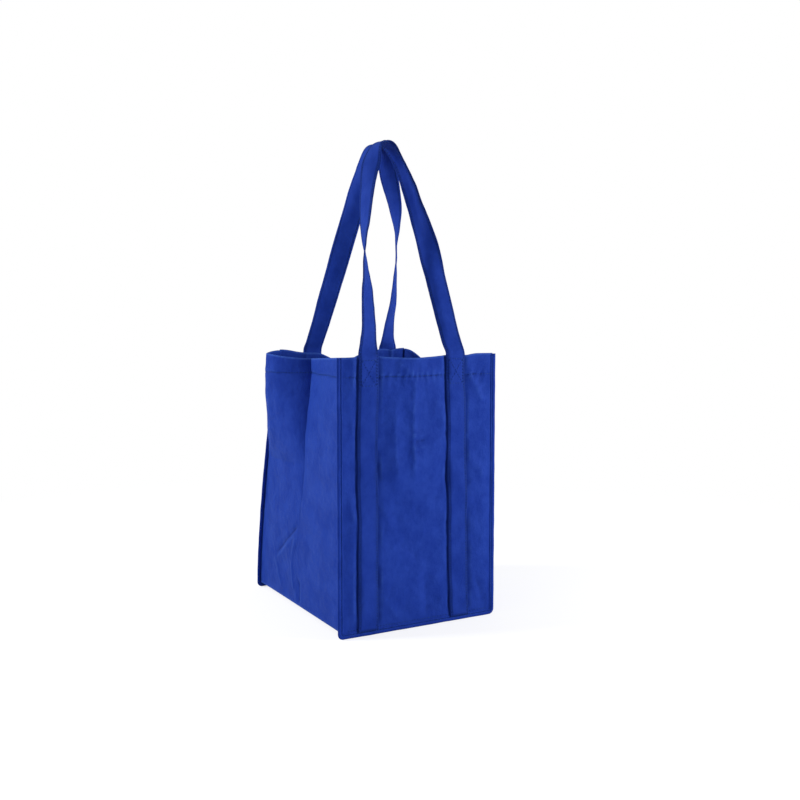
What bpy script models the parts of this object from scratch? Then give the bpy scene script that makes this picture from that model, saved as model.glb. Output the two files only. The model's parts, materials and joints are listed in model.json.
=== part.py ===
"""A six-bottle wine tote in non-woven fabric, standing open, as the pieces it is sewn from.

Metres, +Z up. The front panel faces -Y. The origin is the middle of the footprint, level with
the underside of the two seam ridges that the tote stands on.
"""

import math

import bmesh
import bpy
from mathutils import Vector

# Driving dimensions
body_width = 0.220  # across the front panel, over its two seam ridges
body_depth = 0.265  # from the front face to the back face, at the foot
rim_height = 0.330  # from the ridges' underside to the hemmed rim
handle_reach = 0.281  # from the rim to the top of a handle, along the handle's own plane
bottle_diameter = 0.075  # the body of a standard 750 ml bottle

# Thicknesses and the clearance between pieces that touch on the real tote
cloth = 0.0008
strap_thickness = 0.0016
tape_thickness = 0.0024
divider_thickness = 0.0010
board_thickness = 0.0025
gap = 0.0003

# Seam ridges: the taped seam allowance stands out round three sides of each panel
seam_reach = 0.006
ridge_corner_radius = 0.007
seam_setback = 0.0029  # from a panel's middle plane back to the gusset's sewn edge

# Hem: the top of each wall is turned inwards once
hem_drop = 0.024
hem_pitch = 0.0013  # between the middles of the two plies

# The back panel's rim is drawn forwards and narrows, and the foot stays square
back_lean = 0.056
back_inset = 0.010
lean_power = 1.5

# Rim line: lifted where the straps pull, and slack between them
front_rim_lift = 0.002
front_rim_sag = 0.004
back_rim_lift = 0.004
back_rim_sag = 0.012
lift_half_length = 0.030
sag_half_length = 0.045

# Gusset folds
gusset_fold = 0.0212  # how far the middle crease stands in at the rim
fold_start = 0.095
fold_power = 1.15
gusset_ear = 0.0154  # how far the slack cloth stands out beside the back seam
ear_start = 0.190
left_rim_drops = (0.005, 0.002)  # at the crease and at the slack cloth behind it
right_rim_drops = (0.010, 0.014)

# Straps and handles
strap_width = 0.027
strap_spacing = 0.1205  # between the middles of one panel's two straps
strap_splay = 0.0078  # how much wider apart they are at the foot
strap_pair_shift = 0.0095  # the pair sits left of the panel's middle, seen from outside
strap_foot_shift = 0.0066
front_handle_sway = 0.0035  # how far the loop's legs bow to the right
back_handle_sway = 0.0075
fold_slack = 0.0002  # between a sewn strap's face and the line that its handle folds about
handle_meeting_gap = 0.0004

# Inside
bottle_slack = 0.0015
divider_height = 0.155
board_corner_radius = 0.004
board_slack = 0.0005

# Shares of the sizes above
handle_taper_share = 0.55
twist_end_share = 0.72
crease_column_share = 0.30
ear_peak_share = 0.70
ear_pull_shares = (0.1, 2.7)
ear_depth_shares = (0.62, 0.97)
slot_depth_share = 0.5

# How finely the cloth is divided
panel_columns = 14
gusset_columns = 20
wall_rows = 11
fold_rows = 4
ply_rows = 2
strap_rows = 11
ridge_side_rows = 11
ridge_corner_rows = 5
ridge_foot_rows = 4
handle_half_steps = 30
handle_samples = 400
divider_edge_steps = 6
corner_steps = 5

panel_half = body_width / 2 - seam_reach
gusset_plane = panel_half - cloth / 2
board_floor = seam_reach + cloth + gap
divider_floor = board_floor + board_thickness + gap
divider_top = divider_floor + divider_height
front_inner = -(body_depth / 2 - cloth)
cell_depth = bottle_diameter + bottle_slack
front_cross_y = front_inner + cell_depth + divider_thickness / 2
rear_cross_y = front_cross_y + divider_thickness + cell_depth


def clear_scene():
    for old in list(bpy.data.objects):
        bpy.data.objects.remove(old, do_unlink=True)


def clipped(share):
    return min(1.0, max(0.0, share))


def smooth(share):
    share = clipped(share)
    return share * share * (3 - 2 * share)


def between(first, last, share):
    return first + (last - first) * share


def finish(name, color, roughness):
    """A Principled material in one colour."""
    made = bpy.data.materials.new(name)
    made.use_nodes = True
    shader = made.node_tree.nodes["Principled BSDF"]
    shader.inputs["Base Color"].default_value = color
    shader.inputs["Roughness"].default_value = roughness
    shader.inputs["Metallic"].default_value = 0.0
    return made


def add_object(name, data, material, origin=(0, 0, 0)):
    made = bpy.data.objects.new(name, data)
    made.location = origin
    data.materials.append(material)
    tote.objects.link(made)
    return made


def lofted_sheet(name, place, across, along, thickness, material, origin=(0, 0, 0)):
    """A grid of cloth whose points are set by place(column, row), thickened about its middle."""
    grid = bmesh.new()
    bmesh.ops.create_grid(grid, x_segments=across, y_segments=along, size=1)
    for point in grid.verts:
        column = round((point.co.x + 1) / 2 * across)
        row = round((point.co.y + 1) / 2 * along)
        point.co = place(column, row) - Vector(origin)
    data = bpy.data.meshes.new(name)
    grid.to_mesh(data)
    grid.free()
    data.shade_smooth()
    made = add_object(name, data, material, origin)
    shell = made.modifiers.new("thickness", "SOLIDIFY")
    shell.thickness = thickness
    shell.offset = 0
    shell.use_even_offset = True
    return made


def flat_plate(name, outline, thickness, material, origin, turn):
    """A plate of even thickness, cut to a closed outline of (x, y) points in its own plane."""
    data = bpy.data.curves.new(name, "CURVE")
    data.dimensions = "2D"
    data.fill_mode = "BOTH"
    data.extrude = thickness / 2
    edge = data.splines.new("POLY")
    edge.points.add(len(outline) - 1)
    for point, (x, y) in zip(edge.points, outline):
        point.co = (x, y, 0, 1)
    edge.use_cyclic_u = True
    made = add_object(name, data, material, origin)
    made.rotation_euler = turn
    return made


# The panels


class Panel:
    """The front or back wall: its middle surface, its rim line and where its straps lie."""

    def __init__(self, sign, lean, inset, rim_lift, rim_sag):
        self.sign = sign
        self.lean = lean
        self.inset = inset
        self.rim_lift = rim_lift
        self.rim_sag = rim_sag

    def rise(self, z):
        return clipped((z - seam_reach) / (rim_height - seam_reach)) ** lean_power

    def plane(self, z):
        return self.sign * (body_depth / 2 - cloth / 2 - self.lean * self.rise(z))

    def half_width(self, z):
        return panel_half - self.inset * self.rise(z)

    def outward(self, z):
        share = clipped((z - seam_reach) / (rim_height - seam_reach))
        slope = lean_power * share ** (lean_power - 1) * self.lean / (rim_height - seam_reach)
        return Vector((0, self.sign, slope)).normalized()

    def point(self, x, z, off=0.0):
        return Vector((x, self.plane(z), z)) + self.outward(z) * off

    def strap_x(self, side, z=rim_height):
        share = clipped(z / rim_height)
        spacing = strap_spacing + strap_splay * (1 - share)
        return self.sign * between(strap_foot_shift, strap_pair_shift, share) + side * spacing / 2

    def rim(self, x):
        pulled = max(smooth(1 - abs(x - self.strap_x(s)) / lift_half_length) for s in (-1, 1))
        slack = smooth(1 - abs(x - self.sign * strap_pair_shift) / sag_half_length)
        corner = smooth((abs(x) - strap_spacing / 2) / (panel_half - strap_spacing / 2))
        raised = max(pulled, corner) if self.lean else pulled
        return rim_height + self.rim_lift * raised - self.rim_sag * slack

    def strap_top(self):
        return self.rim(self.strap_x(1))

    def hinge(self):
        """A point on the line that this panel's handle folds about, at x = 0."""
        off = cloth / 2 + gap + strap_thickness + fold_slack
        return self.point(0, self.strap_top(), off) + Vector((0, 0, gap / 2))


def wall_stations():
    """(share of the wall's height, lift, step inwards) of each row, up the wall and down the hem."""
    turn = hem_pitch / 2
    rows = [(row / wall_rows, 0, 0) for row in range(wall_rows + 1)]
    for row in range(1, fold_rows + 1):
        angle = math.pi * row / fold_rows
        rows.append((1, turn * math.sin(angle), turn * (1 - math.cos(angle))))
    for row in range(1, ply_rows + 1):
        rows.append((1, -hem_drop * row / ply_rows, hem_pitch))
    return rows


def add_panel(name, panel, material):
    stations = wall_stations()

    def place(column, row):
        height_share, lift, inward = stations[row]
        across = between(-1, 1, column / panel_columns)
        top = panel.rim(across * panel.half_width(rim_height)) - hem_pitch / 2
        z = between(seam_reach, top, height_share) + lift
        return panel.point(across * panel.half_width(z), z, -inward)

    return lofted_sheet(name, place, panel_columns, len(stations) - 1, cloth, material)


def add_seam_ridge(name, panel, material):
    """The taped seam allowance: down one side of the panel, along the foot and up the other."""
    centre = seam_reach - ridge_corner_radius
    half_path = []
    for row in range(ridge_side_rows):
        top = panel.rim(panel.half_width(rim_height))
        half_path.append((None, between(top, ridge_corner_radius, row / ridge_side_rows), 0))
    for row in range(ridge_corner_rows):
        angle = math.pi / 2 * row / ridge_corner_rows
        half_path.append((panel_half + centre, ridge_corner_radius, angle))
    for row in range(ridge_foot_rows + 1):
        x = between(panel_half + centre, 0, row / ridge_foot_rows)
        half_path.append((x, ridge_corner_radius, math.pi / 2))
    steps = 2 * (len(half_path) - 1)

    def place(column, row):
        side = 1 if row <= steps / 2 else -1
        x, z, angle = half_path[min(row, steps - row)]
        if x is None:
            x = panel.half_width(z) + centre
        reach = ridge_corner_radius - (seam_reach - 2 * gap) * (1 - column)
        x += reach * math.cos(angle)
        z -= reach * math.sin(angle)
        return panel.point(side * x, z)

    return lofted_sheet(name, place, 1, steps, tape_thickness, material)


def add_strap(name, panel, side, material):
    """A strap's sewn run, flat on the panel from the foot seam to the rim."""
    low = seam_reach + gap
    off = cloth / 2 + gap + strap_thickness / 2

    def place(column, row):
        z = between(low, panel.strap_top(), row / strap_rows)
        x = panel.strap_x(side, z) + between(-strap_width / 2, strap_width / 2, column)
        return panel.point(x, z, off)

    return lofted_sheet(name, place, 1, strap_rows, strap_thickness, material)


# The gussets


def fold_depth(z):
    share = clipped((z - fold_start) / (rim_height - fold_start))
    return gusset_fold * share**fold_power


def ear_reach(z):
    share = clipped((z - ear_start) / (rim_height - ear_start))
    return gusset_ear * (1 - (1 - share) ** 2)


def gusset_plan(share, z):
    """(x, y) on the right gusset's middle surface, from its front edge to its back edge."""
    front_y = front.plane(z) + seam_setback
    back_y = back.plane(z) - seam_setback
    crease = (gusset_plane - fold_depth(z), 0)
    if share <= crease_column_share:
        along = share / crease_column_share
        return Vector((between(gusset_plane, crease[0], along), between(front_y, 0, along)))
    t = (share - crease_column_share) / (1 - crease_column_share)
    pulls = [gusset_plane + ear_reach(z) * pull for pull in ear_pull_shares]
    depths = [back_y * depth for depth in ear_depth_shares]
    corner = (back.half_width(z) - cloth / 2, back_y)
    path = [crease, (pulls[0], depths[0]), (pulls[1], depths[1]), corner]
    weights = ((1 - t) ** 3, 3 * t * (1 - t) ** 2, 3 * t * t * (1 - t), t**3)
    return sum((Vector(p) * w for p, w in zip(path, weights)), Vector((0, 0)))


def gusset_rim(share, drops):
    """The rim dips at the crease and rises to the back corner."""
    at_crease, at_ear = drops
    if share <= crease_column_share:
        return rim_height - at_crease * share / crease_column_share
    t = (share - crease_column_share) / (1 - crease_column_share)
    if t <= ear_peak_share:
        return rim_height - between(at_crease, at_ear, smooth(t / ear_peak_share))
    past = smooth((t - ear_peak_share) / (1 - ear_peak_share))
    return rim_height + between(-at_ear, back_rim_lift, past)


def gusset_inner_x(y, z):
    """Half the clear width between the gussets at this depth and height."""
    steps = gusset_columns * 10
    points = [gusset_plan(step / steps, z) for step in range(steps + 1)]
    nearest = min(points, key=lambda point: abs(point.y - y))
    return nearest.x - cloth / 2


def add_gusset(name, side, drops, material):
    stations = wall_stations()

    def place(column, row):
        height_share, lift, inward = stations[row]
        share = column / gusset_columns
        top = gusset_rim(share, drops) - hem_pitch / 2
        z = between(seam_reach, top, height_share) + lift
        here = gusset_plan(share, z)
        step = 1 / gusset_columns / 10
        ahead = gusset_plan(min(1, share + step), z) - gusset_plan(max(0, share - step), z)
        inner = Vector((-ahead.y, ahead.x)).normalized()
        here += inner * inward
        return Vector((side * here.x, here.y, z))

    return lofted_sheet(name, place, gusset_columns, len(stations) - 1, cloth, material)


# The handles


def handle_line(sway):
    """(across, up) along a handle's middle line in its own plane, from foot to foot."""
    half = []
    for sample in range(handle_samples + 1):
        angle = math.pi / 2 * (sample / handle_samples) ** 3
        up = math.sin(angle) ** 0.4
        across = strap_spacing / 2 * (1 - handle_taper_share * up) * math.cos(angle)
        half.append(Vector((across, up * handle_reach)))
    travelled = [0.0]
    for first, last in zip(half, half[1:]):
        travelled.append(travelled[-1] + (last - first).length)
    chosen = []
    for step in range(handle_half_steps + 1):
        from_top = travelled[-1] * (step / handle_half_steps) ** 1.3
        goal = travelled[-1] - from_top
        index = next(i for i, far in enumerate(travelled) if far >= goal - gap / 10)
        chosen.append(half[index])
    left = [Vector((-point.x, point.y)) for point in reversed(chosen)]
    line = left + chosen[1:]
    return [p + Vector((sway * math.sin(math.pi * p.y / handle_reach), 0)) for p in line]


def handle_lean(panel):
    """The angle at which the top of this handle comes up beside the top of the other."""
    hinge_y = panel.sign * panel.hinge().y
    middle = panel.sign * (front.hinge().y + back.hinge().y) / 2
    across = hinge_y - middle - handle_meeting_gap / 2 - strap_width / 2
    inward = strap_thickness / 2 + fold_slack
    far = math.hypot(handle_reach, inward)
    return math.asin(across / far) - math.atan2(inward, handle_reach)


def add_handle(name, panel, sway, material):
    """The free loop of a strap: flat on the panel at its feet, on edge up its legs, and level
    across its top, beside the other loop."""
    line = handle_line(sway)
    lean = handle_lean(panel)
    up = Vector((0, -panel.sign * math.sin(lean), math.cos(lean)))
    out = Vector((0, panel.sign * math.cos(lean), math.sin(lean)))
    level = Vector((0, panel.sign, 0))
    thick = strap_thickness + fold_slack
    foot = gap + thick * math.tan(lean)
    start = panel.hinge() - out * (strap_thickness / 2 + fold_slack) + up * foot
    start.x = panel.sign * strap_pair_shift
    steps = len(line) - 1

    def place(column, row):
        here = line[row]
        ahead = line[min(row + 1, len(line) - 1)] - line[max(row - 1, 0)]
        ahead.normalize()
        twist = math.pi / 2 * smooth(here.y / (handle_reach * twist_end_share))
        skew = smooth(here.y / strap_width)
        side = math.copysign(between(1, abs(ahead.y), skew), steps / 2 - row)
        flat = (Vector((side, 0, 0)) - up * ahead.x * skew).normalized()
        edge_on = out.lerp(level, ahead.x ** 2).normalized()
        wide = flat * math.cos(twist) - edge_on * math.sin(twist)
        half = between(-strap_width / 2, strap_width / 2, column / 2)
        return start + Vector((here.x, 0, 0)) + up * here.y + wide * half

    return lofted_sheet(name, place, 2, steps, strap_thickness, material, panel.hinge())


# The foot and the dividers


def add_bottom_panel(material):
    x = gusset_plane - cloth / 2 - gap
    low_y = front_inner + gap
    high_y = back.plane(seam_reach + cloth) - cloth / 2 - gap
    outline = [(-x, low_y), (x, low_y), (x, high_y), (-x, high_y)]
    origin = (0, 0, seam_reach + cloth / 2)
    flat_plate("bottom_panel", outline, cloth, material, origin, (0, 0, 0))


def add_base_board(material):
    top = board_floor + board_thickness
    x = gusset_plane - cloth / 2 - board_slack - board_corner_radius
    low_y = front_inner + board_slack + board_corner_radius
    high_y = back.plane(top) - cloth / 2 - board_slack - board_corner_radius
    outline = []
    for turn, (cx, cy) in enumerate([(x, high_y), (-x, high_y), (-x, low_y), (x, low_y)]):
        for step in range(corner_steps + 1):
            angle = math.pi / 2 * (turn + step / corner_steps)
            outline.append((cx + board_corner_radius * math.cos(angle),
                            cy + board_corner_radius * math.sin(angle)))
    origin = (0, 0, board_floor + board_thickness / 2)
    flat_plate("base_board", outline, board_thickness, material, origin, (0, 0, 0))


def add_centre_divider(material):
    """Runs from front to back. It is slotted from the top, where the cross dividers drop in."""
    slot = divider_thickness / 2 + gap
    slot_floor = divider_top - divider_height * slot_depth_share
    low_y = front_inner + gap
    edge = []
    for step in range(divider_edge_steps + 1):
        z = between(divider_floor, divider_top, step / divider_edge_steps)
        edge.append((back.plane(z) - cloth / 2 - 2 * gap, z))
    outline = [(low_y, divider_floor)] + edge
    for y in (rear_cross_y, front_cross_y):
        outline += [(y + slot, divider_top), (y + slot, slot_floor),
                    (y - slot, slot_floor), (y - slot, divider_top)]
    outline.append((low_y, divider_top))
    turn = (math.pi / 2, 0, math.pi / 2)
    flat_plate("centre_divider", outline, divider_thickness, material, (0, 0, 0), turn)


def add_cross_divider(name, y, material):
    """Runs from gusset to gusset, with its ends cut to the gussets' folds, slotted from below."""
    slot = divider_thickness / 2 + gap
    slot_top = divider_top - divider_height * slot_depth_share + gap
    edge = []
    for step in range(divider_edge_steps + 1):
        z = between(divider_floor, divider_top, step / divider_edge_steps)
        edge.append((gusset_inner_x(y, z) - 2 * gap, z))
    outline = [(slot, divider_floor)] + edge
    outline += [(-x, z) for x, z in reversed(edge)]
    outline += [(-slot, divider_floor), (-slot, slot_top), (slot, slot_top)]
    turn = (math.pi / 2, 0, 0)
    flat_plate(name, outline, divider_thickness, material, (0, y, 0), turn)


clear_scene()
tote = bpy.data.collections.new("wine_bottle_tote")
bpy.context.scene.collection.children.link(tote)

front = Panel(-1, 0, 0, front_rim_lift, front_rim_sag)
back = Panel(1, back_lean, back_inset, back_rim_lift, back_rim_sag)

royal_blue = (0.018, 0.052, 0.315, 1)
deep_blue = (0.013, 0.036, 0.240, 1)
board_grey = (0.55, 0.53, 0.48, 1)

for side_name, wall, sway in (("front", front, front_handle_sway),
                              ("back", back, back_handle_sway)):
    add_panel(f"{side_name}_panel", wall, finish(f"{side_name}_cloth", royal_blue, 0.72))
    add_seam_ridge(f"{side_name}_seam_ridge", wall, finish(f"{side_name}_tape", deep_blue, 0.7))
    handle_cloth = finish(f"{side_name}_handle_web", royal_blue, 0.68)
    add_handle(f"{side_name}_handle", wall, sway, handle_cloth)
    for hand_name, hand in (("left", -1), ("right", 1)):
        strap_name = f"{side_name}_{hand_name}_strap"
        add_strap(strap_name, wall, hand, finish(f"{strap_name}_web", royal_blue, 0.68))

for hand_name, hand, drops in (("left", -1, left_rim_drops), ("right", 1, right_rim_drops)):
    gusset_cloth = finish(f"{hand_name}_gusset_cloth", royal_blue, 0.72)
    add_gusset(f"{hand_name}_gusset", hand, drops, gusset_cloth)

add_bottom_panel(finish("bottom_cloth", royal_blue, 0.75))
add_base_board(finish("stiffener_board", board_grey, 0.8))
add_centre_divider(finish("centre_divider_cloth", deep_blue, 0.75))
add_cross_divider("front_cross_divider", front_cross_y, finish("front_divider_cloth", deep_blue, 0.75))
add_cross_divider("rear_cross_divider", rear_cross_y, finish("rear_divider_cloth", deep_blue, 0.75))
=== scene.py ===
# %% [markdown]
# # A six-bottle wine tote in non-woven fabric
#
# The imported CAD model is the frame: every sewn piece below is rebuilt in the place of a CAD
# node, with the slack, folds and thread of real cloth. Lengths are metres, the front panel
# faces -Y, and the tote stands on its two seam ridges at z = 0.

# %% Load the frame
import json
import math

import bmesh
import bpy
import numpy as np
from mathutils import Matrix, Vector, noise


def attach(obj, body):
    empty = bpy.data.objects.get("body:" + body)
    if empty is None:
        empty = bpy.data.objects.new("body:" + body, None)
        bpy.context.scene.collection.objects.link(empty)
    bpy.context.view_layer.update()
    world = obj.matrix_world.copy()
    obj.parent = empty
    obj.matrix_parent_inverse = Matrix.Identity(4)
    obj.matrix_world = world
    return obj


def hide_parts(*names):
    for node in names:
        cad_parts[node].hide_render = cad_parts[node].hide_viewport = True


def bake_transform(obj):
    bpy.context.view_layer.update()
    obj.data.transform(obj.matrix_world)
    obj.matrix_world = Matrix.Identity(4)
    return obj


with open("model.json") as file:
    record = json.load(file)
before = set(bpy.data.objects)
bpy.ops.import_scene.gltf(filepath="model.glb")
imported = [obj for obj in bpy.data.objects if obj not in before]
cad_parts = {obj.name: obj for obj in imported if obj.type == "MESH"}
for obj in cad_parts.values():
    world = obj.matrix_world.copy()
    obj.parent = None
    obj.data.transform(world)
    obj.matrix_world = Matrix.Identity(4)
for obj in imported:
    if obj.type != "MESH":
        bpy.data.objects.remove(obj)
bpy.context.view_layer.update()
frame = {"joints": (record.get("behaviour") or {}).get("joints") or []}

# %% [markdown]
# ## Sizes that every piece shares
#
# A sewn bag has few sizes, and each seam is a place where two pieces agree on one. They are
# the same values as in the part's source, so that each piece stays in its CAD node's place.

# %% Sizes
MM = 0.001
HALF_WIDTH = 104 * MM      # middle to side seam
HALF_DEPTH = 132.1 * MM    # middle to the front or back cloth at the foot
FOOT = 6 * MM              # the cloth starts above the seam ridges
RIM = 330 * MM
BACK_LEAN, BACK_INSET = 56 * MM, 10 * MM
HEM = 24 * MM
HEM_SEAM = RIM - HEM + 1.5 * MM
CLOTH = 0.6 * MM
STRAP_WIDTH, STRAP_THICK = 27 * MM, 1.6 * MM
STRAP_SPACING = 120.5 * MM
INSIDE = (0, 0, 160 * MM)  # a point in the tote, which tells outward from inward
print("body", 2 * HALF_WIDTH, "by", 2 * HALF_DEPTH, "by", RIM)

# %% [markdown]
# ## Helpers for shapes
#
# `ease` is the S-curve that cloth follows where one form runs into the next. `crease` is the
# profile across a fold: straight slopes that meet in a rounded ridge, which is what a pressed
# fold in non-woven cloth looks like. `wander` is smooth noise for slack that has no pattern.
# A surface is a grid of points, and `between` reads it anywhere between them.

# %% Curve helpers
def ease(t):
    t = np.clip(t, 0.0, 1.0)
    return t * t * (3 - 2 * t)


def crease(distance, width, round_off=1.2 * MM):
    soft = np.sqrt(distance * distance + round_off * round_off) - round_off
    return np.clip(1 - soft / width, 0, 1) ** 1.4


def wander(x, y, size, seed):
    """Smooth noise from -1 to 1 for two arrays, with bumps of about the given size."""
    flat = [noise.noise(Vector((a / size, b / size, seed * 7.31)))
            for a, b in zip(np.ravel(x), np.ravel(y))]
    return 2 * np.reshape(flat, np.shape(x))


def along_fold(x, y, start, end, width, fade=0.25):
    """How strongly a point feels a fold line from start to end, from 0 to 1."""
    (x0, y0), (x1, y1) = start, end
    length = math.hypot(x1 - x0, y1 - y0)
    ux, uy = (x1 - x0) / length, (y1 - y0) / length
    t = ((x - x0) * ux + (y - y0) * uy) / length
    side = (x - x0) * uy - (y - y0) * ux
    ends = ease(t / fade) * ease((1 - t) / fade)
    return crease(side, width) * ends


# %% Grid helpers
def unit(vectors):
    return vectors / np.linalg.norm(vectors, axis=-1, keepdims=True)


def surface_normals(grid):
    return unit(np.cross(np.gradient(grid, axis=0), np.gradient(grid, axis=1)))


def index_at(value, stations):
    """Where a value lies among rising stations, as an index with a fraction."""
    count = len(stations)
    return np.clip(np.interp(value, stations, np.arange(count)), 0, count - 1.001)


def between(grid, i, j):
    """The grid's value at a fractional column i and row j."""
    i0, j0 = i.astype(int), j.astype(int)
    a, b = (i - i0)[..., None], (j - j0)[..., None]
    low = grid[i0, j0] * (1 - a) + grid[i0 + 1, j0] * a
    high = grid[i0, j0 + 1] * (1 - a) + grid[i0 + 1, j0 + 1] * a
    return low * (1 - b) + high * b


# %% [markdown]
# ## The cloth walls as one kind of thing
#
# A tote is four walls that hang from their seams. Each wall here is a fine grid: a plain
# surface first, then a slack field that pushes it in and out, then the hem, where the same
# cloth turns over at the rim and runs back down inside. Straps, thread and seam ridges ask the
# wall where it is, so they follow each dent. A cloth simulation could make the slack, but the
# photo shows a few definite folds, and a drawn field puts them where they are.

# %% A wall that other pieces can ask
UP_ROWS, HEM_ROWS = 112, 13


class Wall:
    """A grid of cloth. across holds places along the foot, and up holds shares of the height.
    The slack is pushed along the wall's normals, or one way where push is given."""

    def __init__(self, across, up, plain, slack, rim, foot, push=None):
        self.across, self.up, self.rim, self.foot = across, up, rim, foot
        s = across[:, None] + 0 * up[None, :]
        z = foot + (rim(s) - foot) * up[None, :]
        self.s, self.z = s, z
        self.points = plain(s, z)
        self.find_normals()
        way = self.normals if push is None else np.array(push)
        self.points = self.points + way * slack(s, z)[..., None]
        self.find_normals()

    def find_normals(self):
        normals = surface_normals(self.points)
        facing = np.sum(normals * (self.points - np.array(INSIDE)), axis=2).mean()
        self.normals = normals * np.sign(facing)

    def at(self, s, z):
        """Point and outward normal at s along the foot and height z, as arrays."""
        s, z = np.broadcast_arrays(np.asarray(s, float), np.asarray(z, float))
        i = index_at(s, self.across)
        j = index_at((z - self.foot) / (self.rim(s) - self.foot), self.up)
        past = (z - np.clip(z, self.foot, self.rim(s)))[..., None]
        point = between(self.points, i, j) + past * np.array((0, 0, 1.0))
        return point, unit(between(self.normals, i, j))


def up_stations():
    """Shares of the height, closer together in the hem, where the stitching pulls."""
    low = np.linspace(0, 1 - HEM / (RIM - FOOT), UP_ROWS)
    return np.concatenate([low, np.linspace(low[-1], 1, HEM_ROWS)[1:]])


# %% From a grid to a mesh
def into_scene(name, data):
    made = bpy.data.objects.new(name, data)
    bpy.context.scene.collection.objects.link(made)
    return made


def grid_mesh(name, points, uv, closed=False):
    """A mesh object over a grid of points, with its UVs in metres of cloth. A closed one is a
    tube: its columns go round, and each end gets a flat cap."""
    columns, rows = points.shape[:2]
    mesh = bpy.data.meshes.new(name)
    order = np.arange(columns * rows).reshape(columns, rows)
    caps = [order[::-1, 0].tolist(), order[:, -1].tolist()] if closed else []
    if closed:
        order = np.concatenate([order, order[:1]])
    a, b = order[:-1, :-1], order[1:, :-1]
    c, d = order[1:, 1:], order[:-1, 1:]
    faces = np.stack([a, b, c, d], axis=-1).reshape(-1, 4)
    mesh.from_pydata(points.reshape(-1, 3).tolist(), [], faces.tolist() + caps)
    corner = np.empty(len(mesh.loops), np.int32)
    mesh.loops.foreach_get("vertex_index", corner)
    flat = uv.reshape(-1, 2)[corner].copy()
    if closed:
        girth = uv[-1, 0, 0] + uv[1, 0, 0] - 2 * uv[0, 0, 0]
        joining = np.zeros(len(corner), bool)
        joining[:faces.size] = np.repeat(np.arange(len(faces)) // (rows - 1) == columns - 1, 4)
        flat[joining & (corner < rows), 0] += girth
    layer = mesh.uv_layers.new(name="cloth")
    layer.data.foreach_set("uv", flat.astype(np.float32).ravel())
    mesh.shade_smooth()
    for cap in range(len(faces), len(mesh.polygons)):
        mesh.polygons[cap].use_smooth = False
    if closed:
        shell = bmesh.new()
        shell.from_mesh(mesh)
        bmesh.ops.recalc_face_normals(shell, faces=shell.faces)
        shell.to_mesh(mesh)
        shell.free()
    return into_scene(name, mesh)


def solidify(piece, thickness):
    shell = piece.modifiers.new("cloth thickness", "SOLIDIFY")
    shell.thickness, shell.offset = thickness, 0.0
    shell.use_even_offset = True
    return piece


# %% Turning the hem in
HEM_PITCH, FOLD_STEPS = 1.1 * MM, 5


def hemmed(wall):
    """The wall's grid with the hem: over the rim in a small half circle and down inside."""
    p, n = wall.points, wall.normals
    top, out = p[:, -1], n[:, -1]
    rows, uv_up = [p], [wall.z]
    r = HEM_PITCH / 2
    for step in range(1, FOLD_STEPS):
        angle = math.pi * step / FOLD_STEPS
        rows.append((top - out * (r * (1 - math.cos(angle)))
                     + np.array((0, 0, r * math.sin(angle))))[:, None])
        uv_up.append(wall.z[:, -1:] + r * angle)
    back = slice(None, -HEM_ROWS - 1, -1)
    wave = 0.5 * MM * np.sin(wall.s[:, back] * 2 * math.pi / (37 * MM))
    wave = wave * ease((wall.z[:, -1:] - wall.z[:, back]) / HEM)
    inner = p[:, back] - n[:, back] * (HEM_PITCH + 0.5 * wave[..., None])
    rows.append(inner)
    uv_up.append(2 * wall.z[:, -1:] - wall.z[:, back] + math.pi * r)
    points, height = np.concatenate(rows, axis=1), np.concatenate(uv_up, axis=1)
    along = np.repeat(wall.s[:, :1], points.shape[1], axis=1)
    return points, np.stack([along, height], axis=-1)


# %% [markdown]
# ## The front and back panels
#
# Each panel hangs from its two straps, so the rim is lifted at the straps and sags between
# them. The cloth was folded flat in its carton, which left a soft ridge down the middle of the
# front and a valley down the back, and it puckers along the hem and beside the straps. The
# back panel is drawn forwards by its handle, so it leans, and its rim is narrower.

# %% Where the straps are, and the rim lines
def strap_middle(sign, side, z):
    """The middle of a sewn strap. The left one on the back is sewn on a little out of line."""
    share = np.clip(z / RIM, 0, 1)
    spacing = STRAP_SPACING + 7.8 * MM * (1 - share)
    slip = 4 * MM * ease((z - 200 * MM) / (120 * MM)) if (sign, side) == (1, -1) else 0
    return sign * (6.6 * MM + 2.9 * MM * share) + side * spacing / 2 + slip


def panel_rim(sign, lifts, sag, lowest, corners, full):
    """lifts and sag are how far the straps raise the rim and how far it hangs at its lowest.
    Past `full` a corner has its whole lift."""
    def rim(s):
        near = [lift * ease(1 - np.abs(s - strap_middle(sign, side, RIM)) / (30 * MM))
                for side, lift in zip((-1, 1), lifts)]
        edge = ease((np.abs(s) - 60 * MM) / (full - 60 * MM))
        edge = edge * np.where(s < 0, *corners)
        slack = ease(1 - np.abs(s - lowest) / (45 * MM))
        return RIM + np.maximum(np.maximum(*near), edge) - sag * slack
    return rim


front_rim = panel_rim(-1, (1.5 * MM, 1.5 * MM), 1.5 * MM, -9.5 * MM, (0, 2.7 * MM), 84 * MM)
back_rim = panel_rim(1, (0, 4 * MM), 12 * MM, -3 * MM, (5 * MM, 5 * MM), HALF_WIDTH)
print("front rim between the straps:", round(float(front_rim(0.0)) / MM, 1), "mm")


# %% The plain surfaces
def rise(z):
    return np.clip((z - FOOT) / (RIM - FOOT), 0, 1) ** 1.5


def front_plain(s, z):
    return np.stack([s, -HALF_DEPTH + 0 * s, z], axis=-1)


def back_plain(s, z):
    x = s * (HALF_WIDTH - BACK_INSET * rise(z)) / HALF_WIDTH
    return np.stack([x, HALF_DEPTH - BACK_LEAN * rise(z), z + 0 * s], axis=-1)


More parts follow.
